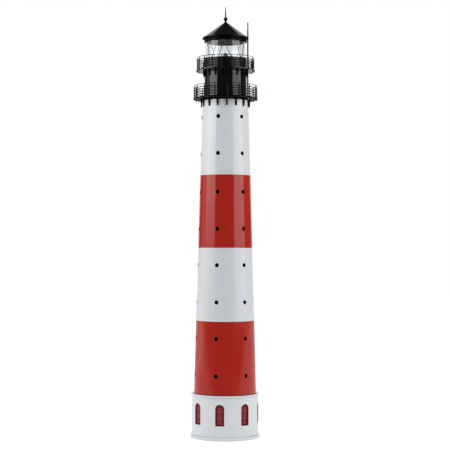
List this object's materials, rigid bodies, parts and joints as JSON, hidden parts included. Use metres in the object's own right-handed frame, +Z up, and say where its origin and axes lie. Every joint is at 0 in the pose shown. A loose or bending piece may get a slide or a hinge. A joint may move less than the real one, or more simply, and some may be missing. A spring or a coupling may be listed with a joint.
{
  "type": "miniature lighthouse",
  "caption": "Garden miniature of a lighthouse: tapered red and white tower on a white drum, two black railed galleries and a clear lantern with a lamp under a conical roof that lifts off.",
  "frame": {"origin": "centre of the foot ring's underside, on the tower's axis", "axes": "+Z up along the tower's axis, -Y towards the front"},
  "size_m": [0.208, 0.208, 1.2805],
  "materials": {
    "red_gloss": "gloss",
    "white_gloss": "gloss",
    "black_gloss": "gloss",
    "wine_gloss": "gloss",
    "black_metal": "gloss",
    "steel": "satin",
    "clear_tube": "clear",
    "bulb_white": "frosted",
    "black_matte": "matte"
  },
  "bodies": {
    "tower": {"foot_ring": "white_gloss", "drum_shell": "white_gloss", "window_liner": "wine_gloss", "window_frames": "wine_gloss", "drum_top_plate": "white_gloss", "cable_gland": "black_matte", "tower_band_red_lower": "red_gloss", "tower_band_white_lower": "white_gloss", "tower_band_red_upper": "red_gloss", "tower_band_white_upper": "white_gloss", "tower_foot_ring": "black_matte", "joint_sleeve_lower": "black_matte", "joint_sleeve_middle": "black_matte", "joint_sleeve_upper": "black_matte", "tower_head_ring": "black_matte", "head_collar": "black_gloss", "plate_screws": "steel", "deck_screws": "steel", "lower_gallery_deck": "black_gloss", "lower_gallery_brackets": "black_gloss", "lower_gallery_posts": "black_metal", "lower_gallery_rails": "black_metal", "lower_gallery_nuts": "black_metal", "service_room": "black_gloss", "tie_rods": "steel", "tie_rod_nuts": "steel", "upper_gallery_deck": "black_gloss", "upper_gallery_brackets": "black_gloss", "upper_gallery_posts": "black_metal", "upper_gallery_rails": "black_metal", "upper_gallery_nuts": "black_metal", "lantern_parapet": "black_gloss", "mast_tube": "black_metal", "mast_rod": "black_metal", "mast_nut": "steel", "lamp_holder": "black_matte", "lamp_bulb": "bulb_white"},
    "lantern_hood": {"lantern_glass": "clear_tube", "frame_rings": "black_metal", "frame_wires": "black_metal", "soffit_plate": "black_gloss", "roof_ring": "black_gloss", "roof_cone": "black_gloss", "roof_nut": "steel", "finial": "black_gloss"}
  },
  "joints": [
    {"name": "hood_lift", "type": "slide", "parent": "tower", "child": "lantern_hood", "axis": [0, 0, 1], "range_m": [0, 0.12]}
  ]
}
